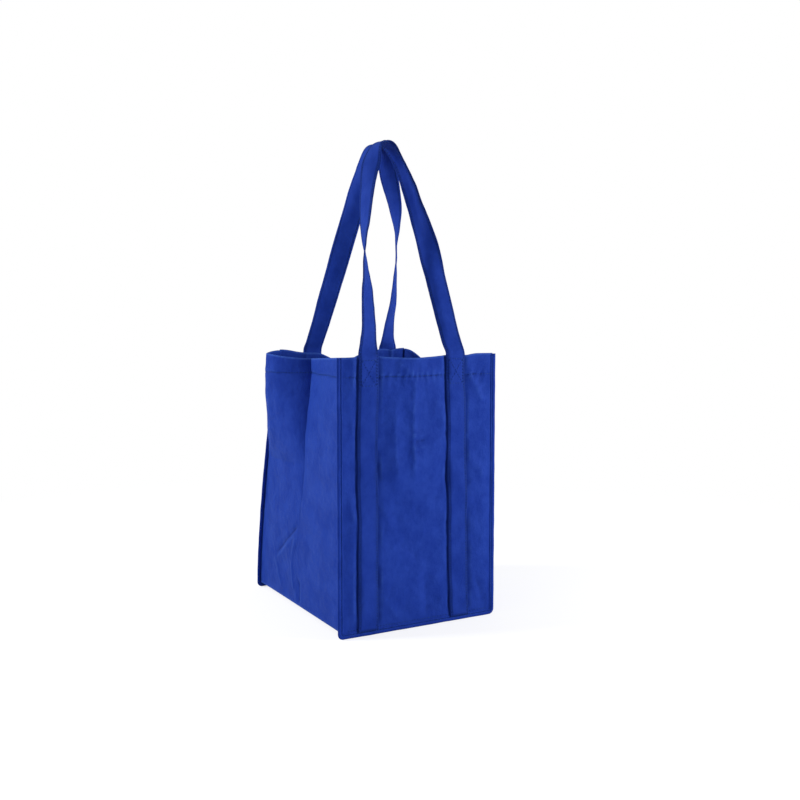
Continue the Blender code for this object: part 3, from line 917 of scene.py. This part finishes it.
def strap_mesh(name, strap, nodes):
    half = (FULLNESS * STRAP_THICK / 2)[:, None, None]
    outer, inner = strap.grid + strap.normals * half, strap.grid - strap.normals * half
    grid = np.concatenate([outer, inner[::-1]])
    girth = np.concatenate([ACROSS, 2 * ACROSS[-1] - ACROSS[::-1] + MM])
    uv = np.stack(np.broadcast_arrays(girth[:, None], strap.along[None, :]), axis=-1)
    piece = grid_mesh(name, grid, uv, closed=True)
    piece.data.materials.append(strap_cloth)
    mark_wear_and_crease_shade(piece, 0.1, 1.0)
    bend_with(piece)
    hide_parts(*nodes)
    print(piece.name, "is", round(strap.along[-1], 2), "m long")


# %% Make the straps
def front_flat_x(x, _height):
    """Where x is along the foot. The back panel narrows as it rises, and the front doesn't."""
    return x


def back_flat_x(x, z):
    return x * HALF_WIDTH / (HALF_WIDTH - BACK_INSET * rise(z))


front_strap = Strap(Loop(-1, "front_handle"), front_wall, front_flat_x, 71)
back_strap = Strap(Loop(1, "back_handle"), back_wall, back_flat_x, 81)
strap_mesh("front_strap_band", front_strap,
           ["front_left_strap", "front_right_strap", "front_handle"])
strap_mesh("back_strap_band", back_strap,
           ["back_left_strap", "back_right_strap", "back_handle"])

# %% [markdown]
# ## The stitching
#
# The tote is sewn with one lockstitch machine: a row below each hem, a row down both edges of
# each strap that goes on round the loop, a crossed box where each strap takes the load at the
# rim, and a row through each seam ridge. Each visible stitch is a small round length of
# thread, pulled down into the cloth at both ends, about 3 mm long. The rows ask the walls,
# borders and straps where they are, so the thread follows every dent.

# %% One stitch, repeated along a row
STITCH, PITCH, THREAD = 2.7 * MM, 3.6 * MM, 0.27 * MM
UNEVEN = 0.05  # how much the pitch varies, as a share of it
# A stitch's rings: along, how thick, and how proud, as shares.
RINGS = ((-0.5, 0.35, -0.9), (-0.30, 0.95, 0.1), (0.0, 1.0, 0.45), (0.30, 0.95, 0.1),
         (0.5, 0.35, -0.9))
SIDES = 6


class Thread:
    """Collects stitches and turns them into one mesh."""

    def __init__(self):
        self.middles, self.ways, self.outs = [], [], []

    def row(self, points, normals, seed):
        """Stitches along a line of points, given close together, with the cloth's normals."""
        steps = np.linalg.norm(np.diff(points, axis=0), axis=1)
        travelled = np.concatenate([[0], np.cumsum(steps)])
        count = int(travelled[-1] // PITCH)
        spots = (np.arange(count) + 0.5) * travelled[-1] / max(count, 1)
        dice = np.random.default_rng(seed)
        spots = spots + dice.normal(0, UNEVEN * PITCH, count)

        def on_row(values, shift=0.0):
            return np.stack([np.interp(spots + shift, travelled, values[:, k])
                             for k in range(3)], axis=-1)

        self.middles.append(on_row(points))
        self.ways.append(on_row(points, STITCH / 2) - on_row(points, -STITCH / 2))
        self.outs.append(on_row(normals))

    def mesh(self, name):
        middle, way, out = (np.concatenate(k) for k in (self.middles, self.ways, self.outs))
        way = unit(way)
        side = unit(np.cross(way, out))
        out = np.cross(side, way)
        count = len(middle)
        rings = []
        for along, thick, proud in RINGS:
            centre = middle + way * along * STITCH + out * proud * THREAD
            for k in range(SIDES):
                angle = 2 * math.pi * k / SIDES
                rings.append(centre + THREAD * thick * (side * math.cos(angle)
                                                       + out * math.sin(angle)))
        points = np.stack(rings, axis=1).reshape(-1, 3)
        one = []
        for ring in range(len(RINGS) - 1):
            for k in range(SIDES):
                a, b = ring * SIDES + k, ring * SIDES + (k + 1) % SIDES
                one.append((a, b, b + SIDES, a + SIDES))
        size = len(RINGS) * SIDES
        quads = np.array(one)[None] + (np.arange(count) * size)[:, None, None]
        low = np.arange(SIDES)[::-1][None] + (np.arange(count) * size)[:, None]
        high = np.arange(size - SIDES, size)[None] + (np.arange(count) * size)[:, None]
        mesh = bpy.data.meshes.new(name)
        mesh.from_pydata(points.tolist(), [],
                         quads.reshape(-1, 4).tolist() + low.tolist() + high.tolist())
        mesh.shade_smooth()
        mesh.materials.append(sewing_thread)
        print(name, "has", count, "stitches")
        return into_scene(name, mesh)


# %% The thread's own finish
kit = Finish("sewing_thread", 0.5, 0.25)
strands = kit.noise(kit.add("TexCoord").outputs["Object"], 900.0, 2.0)
sewing_thread = kit.use(kit.blend(kit.fade(strands, 0.35, 0.65), (0.0012, 0.0080, 0.075),
                                  (0.0040, 0.0190, 0.150)))
print("finish:", sewing_thread.name)

# %% Rows on the walls, below the hems
HEM_ROW = RIM - HEM + 1.6 * MM


def wall_line(wall, s, z, mirror=1.0, inside=False):
    """Points just over the cloth, or just inside the hem, and the normals there."""
    point, normal = wall.at(s, z)
    if inside:
        point, normal = point - normal * (CLOTH + 1.3 * MM), -normal
    else:
        point = point + normal * (CLOTH / 2 + 0.05 * MM)
    flip = np.array((mirror, 1.0, 1.0))
    return point * flip, normal * flip


body_thread = Thread()
clear = STRAP_WIDTH / 2 + 0.8 * MM
for sign, wall, flat_x in ((-1, front_wall, front_flat_x), (1, back_wall, back_flat_x)):
    left, right = (float(flat_x(strap_middle(sign, side, HEM_ROW), HEM_ROW))
                   for side in (-1, 1))
    edge = HALF_WIDTH - 0.5 * MM
    for a, b in ((-edge, left - clear), (left + clear, right - clear), (right + clear, edge)):
        s = np.linspace(a, b, 80)
        body_thread.row(*wall_line(wall, s, HEM_ROW), seed=int(1e4 * (a + 1)))
    s = np.linspace(-edge, edge, 200)
    body_thread.row(*wall_line(wall, s, HEM_ROW, inside=True), seed=5)
for hand, mirror in (("left", -1.0), ("right", 1.0)):
    wall = gusset_walls[hand]
    s = np.linspace(0.01, 0.99, 300)
    body_thread.row(*wall_line(wall, s, HEM_ROW, mirror=mirror), seed=8)
    body_thread.row(*wall_line(wall, s, HEM_ROW, mirror=mirror, inside=True), seed=9)

# %% Rows above the foot ridges, and through all the ridges, seen on both faces
FOOT_ROW = 9.2 * MM
RIDGE_ROW, RIDGE_PROUD = 1.3 * MM, 0.66 * MM
for wall in (front_wall, back_wall):
    s = np.linspace(-HALF_WIDTH + BORDER, HALF_WIDTH - BORDER, 200)
    body_thread.row(*wall_line(wall, s, FOOT_ROW), seed=12)
for border in (front_border, back_border):
    for way in (1, -1):
        body_thread.row(border.at(RIDGE_ROW, way * RIDGE_PROUD), border.out * way, seed=11)

# %% Rows on the straps, and a crossed box where each one meets the rim
EDGE_ROW, ROW_PROUD, BOX_PROUD = 11 * MM, 0.56 * MM, 0.86 * MM
SEWN_RUN = 335 * MM  # the inner face shows no thread this far from the strap's ends
BOX_HEIGHT, BOX_HALF = 30 * MM, 9.6 * MM
for name, strap in (("front", front_strap), ("back", back_strap)):
    thread = Thread()
    end = strap.along[-1]
    along = np.linspace(4 * MM, end - 4 * MM, 1400)
    free = along[(along > SEWN_RUN) & (along < end - SEWN_RUN)]
    for across in (-EDGE_ROW, EDGE_ROW):
        point, normal = strap.at(across, along, ROW_PROUD)
        thread.row(point, normal, seed=21)
        point, normal = strap.at(across, free, -ROW_PROUD)
        thread.row(point, -normal, seed=22)
    up_leg = slice(SEWN_ROWS + 6)
    top = np.interp(strap.loop.hinge[2] - 4 * MM, strap.grid[len(ACROSS) // 2 - 1, up_leg, 2],
                    strap.along[up_leg])
    for low in (top - BOX_HEIGHT, end - top):
        box = [(-BOX_HALF, low), (BOX_HALF, low),
               (BOX_HALF, low + BOX_HEIGHT), (-BOX_HALF, low + BOX_HEIGHT)]
        lines = list(zip(box, box[1:] + box[:1])) + [(box[0], box[2]), (box[1], box[3])]
        for (a0, s0), (a1, s1) in lines:
            share = np.linspace(0, 1, 40)
            point, normal = strap.at(a0 + (a1 - a0) * share, s0 + (s1 - s0) * share, BOX_PROUD)
            thread.row(point, normal, seed=31)
    piece = thread.mesh(name + "_strap_stitching")
    bend_with(piece)

# %% One mesh for the body's thread
stitching = body_thread.mesh("body_stitching")
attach(stitching, "bag")

# %% [markdown]
# ## Inside: the bottom, the dividers and the base board
#
# The bottom is a separate rectangle of cloth whose edges go down into the seam ridges at the
# front and back, and it lies on the gussets' turned-under edges at the sides. The grid of
# three dividers is the same cloth doubled and hemmed along the top. The long one runs from
# front to back and the two short ones drop into slots in it. Their ends are cut to the walls
# as they hang, so they meet them without poking through.

# %% The walls' inner faces
def inner_y(wall, z):
    """Where the middle of the front or back wall has its inner face, at each height."""
    y = wall.at(0 * z, z)[0][..., 1]
    return y - np.sign(y) * CLOTH


def inner_x(wall, y, z):
    """How far out a gusset's inner face is at y, at each height."""
    rows = np.round(index_at(z, wall.z[0])).astype(int)
    return np.array([np.interp(y, wall.points[:, j, 1], wall.points[:, j, 0])
                     for j in rows]) - CLOTH


# %% The bottom cloth
BOTTOM_HEIGHT, BOTTOM_DROP = 6.35 * MM, 1.9 * MM
BOTTOM_HALF_WIDTH, BOTTOM_HALF_DEPTH = GUSSET_X - 1.8 * MM, HALF_DEPTH - 0.9 * MM


def bottom_cloth():
    turned = np.array((0.2, 0.5, 1.0, 2.0, 3.6)) * MM - BOTTOM_HALF_DEPTH
    inner = np.linspace(6 * MM - BOTTOM_HALF_DEPTH, BOTTOM_HALF_DEPTH - 6 * MM, 52)
    y = np.concatenate([turned, inner, -turned[::-1]])
    x = np.linspace(-BOTTOM_HALF_WIDTH, BOTTOM_HALF_WIDTH, 44)
    s, t = np.meshgrid(x, y, indexing="ij")
    edge = BOTTOM_HALF_DEPTH - np.abs(t)
    drop = BOTTOM_DROP * (1 - ease(edge / (3.4 * MM))) ** 1.5
    slack = ease(edge / (20 * MM)) * 0.35 * MM
    z = BOTTOM_HEIGHT - drop + slack * (wander(s, t, 46 * MM, 91) - 0.6)
    points = np.stack([s, t, z], axis=-1)
    piece = solidify(grid_mesh("bottom_panel_cloth", points, points[..., :2]), CLOTH)
    piece.data.materials.append(panel_cloth[2])
    mark_wear_and_crease_shade(piece)
    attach(piece, "bag")
    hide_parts("bottom_panel")
    print(piece.name, "lies", round(float(z.max()) / MM, 1), "mm over the table")


bottom_cloth()

# %% The dividers
DIVIDER_FLOOR, DIVIDER_TOP = 9.9 * MM, 164.9 * MM
SLOT_FLOOR = DIVIDER_TOP - 77.5 * MM
SLOT_HALF, DIVIDER_SLACK = 0.9 * MM, 0.9 * MM
FRONT_CROSS_Y, REAR_CROSS_Y = -54.7 * MM, 22.8 * MM
SHORTER = 0.2 * MM  # a divider's end stops this far short of the wall's inner face


def slot(place, half, mouth):
    """Round a slot: in from its mouth on one side of it, and out on the other."""
    return [(place - half, mouth), (place - half, SLOT_FLOOR), (place + half, SLOT_FLOOR),
            (place + half, mouth)]


def divider_outline(low_at, high_at, low_slots=(), high_slots=()):
    """(s, z) round a divider: ends that follow the walls, and slots from below and above."""
    z = np.linspace(DIVIDER_FLOOR, DIVIDER_TOP, 40)
    points = [(low_at(a) + SHORTER, a) for a in z[::-1]]
    for place in low_slots:
        points += slot(place, SLOT_HALF, DIVIDER_FLOOR)
    points += [(high_at(a) - SHORTER, a) for a in z]
    for place in sorted(high_slots, reverse=True):
        points += slot(place, -SLOT_HALF, DIVIDER_TOP)
    return points


# %% From an outline to a cloth
def divider(name, node, outline, place, seed):
    """A doubled cloth: the outline is filled, cut to a fine mesh and given slack."""
    sheet = bmesh.new()
    ring = [sheet.verts.new((s, z, 0)) for s, z in outline]
    sheet.faces.new(ring)
    for axis, low, high in ((0, min(p[0] for p in outline), max(p[0] for p in outline)),
                            (1, DIVIDER_FLOOR, DIVIDER_TOP)):
        for cut in np.arange(low + 4 * MM, high, 6 * MM):
            spot, way = [0, 0, 0], [0, 0, 0]
            spot[axis], way[axis] = cut, 1
            bmesh.ops.bisect_plane(sheet, geom=sheet.verts[:] + sheet.edges[:] + sheet.faces[:],
                                   plane_co=spot, plane_no=way)
    layer = sheet.loops.layers.uv.new("cloth")
    for face in sheet.faces:
        face.smooth = True
        for loop in face.loops:
            loop[layer].uv = loop.vert.co.xy
    mesh = bpy.data.meshes.new(name)
    sheet.to_mesh(mesh)
    sheet.free()
    co = np.array([v.co for v in mesh.vertices])
    s, z = co[:, 0], co[:, 1]
    held = ease((z - DIVIDER_FLOOR) / (30 * MM))
    slack = DIVIDER_SLACK * wander(s, z, 40 * MM, seed) * held
    mesh.vertices.foreach_set("co", place(s, slack, z).astype(np.float32).ravel())
    piece = into_scene(name, mesh)
    piece.data.materials.append(divider_cloth)
    mark_wear_and_crease_shade(piece, 0.5, 1.0)
    solidify(piece, 1.0 * MM)
    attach(piece, "bag")
    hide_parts(node)
    print(name, "has", len(mesh.polygons), "faces")


def cross_place(y):
    return lambda s, slack, z: np.stack([s, y + slack, z], axis=-1)


# %% Make the dividers
CENTRE_SLACK, CENTRE_SEED, CROSS_SEED = 0.6, 95, 97
heights = np.linspace(DIVIDER_FLOOR, DIVIDER_TOP, 60)
low_y, high_y = inner_y(front_wall, heights), inner_y(back_wall, heights)
divider("centre_divider_cloth", "centre_divider",
        divider_outline(lambda z: np.interp(z, heights, low_y),
                        lambda z: np.interp(z, heights, high_y),
                        high_slots=(FRONT_CROSS_Y, REAR_CROSS_Y)),
        lambda s, slack, z: np.stack([slack * CENTRE_SLACK, s, z], axis=-1), CENTRE_SEED)
for name, y in (("front_cross_divider", FRONT_CROSS_Y), ("rear_cross_divider", REAR_CROSS_Y)):
    left_x, right_x = (inner_x(gusset_walls[hand], y, heights) for hand in ("left", "right"))
    divider(name + "_cloth", name,
            divider_outline(lambda z, x=left_x: -np.interp(z, heights, x),
                            lambda z, x=right_x: np.interp(z, heights, x),
                            low_slots=(0.0,)), cross_place(y), CROSS_SEED)

# %% [markdown]
# ## The dividers' hems
#
# Each divider's top edge is turned over once and sewn down, so a low welt runs along it on both
# faces with a row of thread below. The welts are thin pads laid on the sheet. They stop short
# of the slots and the walls.

# %% Welts and thread along the dividers' tops
WELT_GAP = 4 * MM  # how far a welt stops from a slot
ALONG_X, ALONG_Y = 0, 1
CROSS_RUNS = ((-95 * MM, -WELT_GAP), (WELT_GAP, 95 * MM))
DIVIDER_WELTS = (  # name, the way it runs, where it stands, and its clear runs
    ("centre_divider_hem", ALONG_Y, 0.0, ((-128 * MM, FRONT_CROSS_Y - WELT_GAP),
                                          (FRONT_CROSS_Y + WELT_GAP, REAR_CROSS_Y - WELT_GAP),
                                          (REAR_CROSS_Y + WELT_GAP, 107 * MM))),
    ("front_cross_divider_hem", ALONG_X, FRONT_CROSS_Y, CROSS_RUNS),
    ("rear_cross_divider_hem", ALONG_X, REAR_CROSS_Y, CROSS_RUNS))
HALF_WELT = ((0.95, -8.4), (1.02, -6), (1.02, -2), (0.86, 0.0), (0.45, 0.5))  # off, up, in mm
WELT_SECTION = HALF_WELT + ((0, 0.62),) + tuple((-off, up) for off, up in reversed(HALF_WELT))
WELT_ROW, WELT_ROW_OFF = DIVIDER_TOP - 7 * MM, 1.02 * MM


def welt_slack(along, axis):
    """The divider's own slack at its top edge, so that the welt stays on it."""
    lean, seed = (CENTRE_SLACK, CENTRE_SEED) if axis == ALONG_Y else (1.0, CROSS_SEED)
    return lean * DIVIDER_SLACK * wander(along, 0 * along + DIVIDER_TOP, 40 * MM, seed)


def divider_welt(name, axis, stand, runs):
    """Low pads over a divider's top edge, and the thread rows below them."""
    pieces, thread = [], Thread()
    girth = np.array([up if off >= 0 else 1.2 - up for off, up in WELT_SECTION]) * MM
    for k, (low, high) in enumerate(runs):
        along = np.linspace(low, high, max(int((high - low) / (4 * MM)), 6))
        slack = welt_slack(along, axis)
        grid = np.empty((len(WELT_SECTION), len(along), 3))
        grid[..., axis] = along
        for row, (off, up) in zip(grid, WELT_SECTION):
            row[:, 1 - axis] = stand + slack + off * MM
            row[:, 2] = DIVIDER_TOP + up * MM
        uv = np.stack(np.broadcast_arrays(girth[:, None], along[None, :]), axis=-1)
        pieces.append(grid_mesh("%s_%d" % (name, k), grid, uv, closed=True))
        for way in (-1, 1):
            face, line = np.zeros((2, len(along), 3))
            face[:, 1 - axis] = way
            line[:, axis] = along
            line[:, 1 - axis] = stand + slack + way * WELT_ROW_OFF
            line[:, 2] = WELT_ROW
            thread.row(line, face, seed=41)
    for piece in pieces + [thread.mesh(name + "_stitching")]:
        if not piece.data.materials:
            piece.data.materials.append(divider_cloth)
            mark_wear_and_crease_shade(piece, 0.5, 1.0)
        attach(piece, "bag")
    print(name, "is sewn down in", len(runs), "runs")


for entry in DIVIDER_WELTS:
    divider_welt(*entry)

# %% [markdown]
# ## The base board
#
# A loose pressed board lies on the bottom cloth and keeps the floor flat under the bottles. It
# is grey-brown and flecked with fibre. Its shape is as plain as the CAD's, so the CAD node
# stays and only gets its finish and worn edges.

# %% Pressed board
kit = Finish("pressed_board", 0.72)
spot = kit.add("TexCoord").outputs["Object"]
fleck = kit.noise(spot, 700.0, 4.0, Distortion=2.0)
patch = kit.noise(spot, 26.0, 3.0)
drawn_out = kit.add("Mapping", {"Vector": spot, "Scale": (1.0, 0.12, 1.0)}).outputs[0]
strand = kit.noise(drawn_out, 900.0, 2.0)
color = kit.blend(kit.fade(fleck, 0.35, 0.65), (0.36, 0.335, 0.285), (0.52, 0.49, 0.43))
color = kit.blend(kit.fade(strand, 0.56, 0.72, 0.0, 0.5), color, (0.60, 0.58, 0.52))
color = kit.blend(kit.fade(patch, 0.40, 0.75, 0.0, 0.35), color, (0.30, 0.28, 0.235))
pressed_board = kit.use(color, kit.fade(fleck, 0.3, 0.7, 0.66, 0.82),
                        kit.bump(kit.maths("MULTIPLY", fleck, 0.08 * MM)))

# %% Worn edges
board = bpy.data.objects["base_board"]
board.data.materials.clear()
board.data.materials.append(pressed_board)
worn = board.modifiers.new("worn edges", "BEVEL")
worn.width, worn.segments, worn.limit_method = 0.4 * MM, 2, "ANGLE"
print(board.name, "has the finish", board.data.materials[0].name)

# %% [markdown]
# ## Floor, light and camera
#
# The photo has a plain white ground. Its soft light comes from the rear left and, weaker, from
# the front right, where it rakes the folds of the front panel. The camera was solved from the
# tote's own edges: 367 mm above the table, 1.26 m from the tote's middle, and pitched down by
# 4.4 degrees.

# %% Floor and backdrop
floor = into_scene("floor", bpy.data.meshes.new("floor"))
ground = bmesh.new()
bmesh.ops.create_grid(ground, x_segments=1, y_segments=1, size=6)
ground.to_mesh(floor.data)
ground.free()
floor.location.z = -0.3 * MM

# %% [markdown]
# The floor is matt white paper. To the camera it also glows a little, so that lit paper is
# white and only the tote's shadow is darker. Far from the tote the glow is full, which hides
# where the floor ends. Every other ray sees plain paper, so the light on the tote stays plain.

# %% White paper
SHADOW_REACH = (0.45, 1.1)  # metres from the tote between which its shadow fades out
paper = Finish("white_paper", 0.9)
paper.shader.inputs["Base Color"].default_value = (0.85, 0.85, 0.85, 1)
paper.shader.inputs["Specular IOR Level"].default_value = 0.0
place = paper.add("NewGeometry").outputs["Position"]
away = paper.add("VectorMath", {0: place}, operation="LENGTH").outputs["Value"]
seen_white = paper.add("Emission", {"Color": (1, 1, 1, 1), "Strength": 1.0})
matt = paper.add("BsdfDiffuse", {"Color": (0.42, 0.42, 0.43, 1)})
glow = paper.add("Emission", {"Color": (1, 1, 1, 1), "Strength": 0.72})
near = paper.add("AddShader", {0: matt.outputs[0], 1: glow.outputs[0]})
spread = paper.add("MixShader", {0: paper.fade(away, *SHADOW_REACH), 1: near.outputs[0],
                                 2: seen_white.outputs[0]})
ray = paper.add("LightPath").outputs["Is Camera Ray"]
whole = paper.add("MixShader", {0: ray, 1: paper.shader.outputs[0], 2: spread.outputs[0]})
output = paper.tree.nodes["Material Output"]
paper.tree.links.new(whole.outputs[0], output.inputs["Surface"])
floor.data.materials.append(paper.material)

# %% World
world = bpy.context.scene.world or bpy.data.worlds.new("studio")
bpy.context.scene.world = world
world.use_nodes = True
tree = world.node_tree
tree.nodes.clear()
seen = tree.nodes.new("ShaderNodeBackground")
seen.inputs["Color"].default_value = (1, 1, 1, 1)
seen.inputs["Strength"].default_value = 1.0
soft = tree.nodes.new("ShaderNodeBackground")
soft.inputs["Color"].default_value = (0.95, 0.97, 1.0, 1)
soft.inputs["Strength"].default_value = 0.31
path = tree.nodes.new("ShaderNodeLightPath")
mix = tree.nodes.new("ShaderNodeMixShader")
out = tree.nodes.new("ShaderNodeOutputWorld")
tree.links.new(path.outputs["Is Camera Ray"], mix.inputs["Fac"])
tree.links.new(soft.outputs[0], mix.inputs[1])
tree.links.new(seen.outputs[0], mix.inputs[2])
tree.links.new(mix.outputs[0], out.inputs["Surface"])


# %% Lamps
def softbox(name, place, aim, power, size):
    lamp = bpy.data.lights.new(name, "AREA")
    lamp.energy, lamp.size = power, size
    held = into_scene(name, lamp)
    held.location = place
    held.rotation_euler = (Vector(aim) - Vector(place)).to_track_quat("-Z", "Y").to_euler()
    print(name, "light,", power, "W from a square", size, "m wide")


softbox("key", (-1.85, 0.7, 1.2), (0, 0, 0.25), 41, 0.6)
softbox("fill", (1.12, -0.95, 0.5), (0, 0, 0.2), 18.5, 0.45)

# %% Camera
PICTURE_PIXELS, FOCAL_PIXELS, SENSOR = 800, 950.4, 36
lens = bpy.data.cameras.new("camera")
lens.sensor_width, lens.lens = SENSOR, FOCAL_PIXELS / PICTURE_PIXELS * SENSOR
camera = into_scene("camera", lens)
camera.location = (-0.5756, -1.1163, 0.3668)
camera.rotation_euler = (math.radians(90 - 4.44), 0, math.radians(-29.14))
print("camera", round(math.hypot(*camera.location[:2]), 2), "m from the tote's middle")
bpy.context.scene.camera = camera
bpy.context.scene.view_settings.view_transform = "Standard"
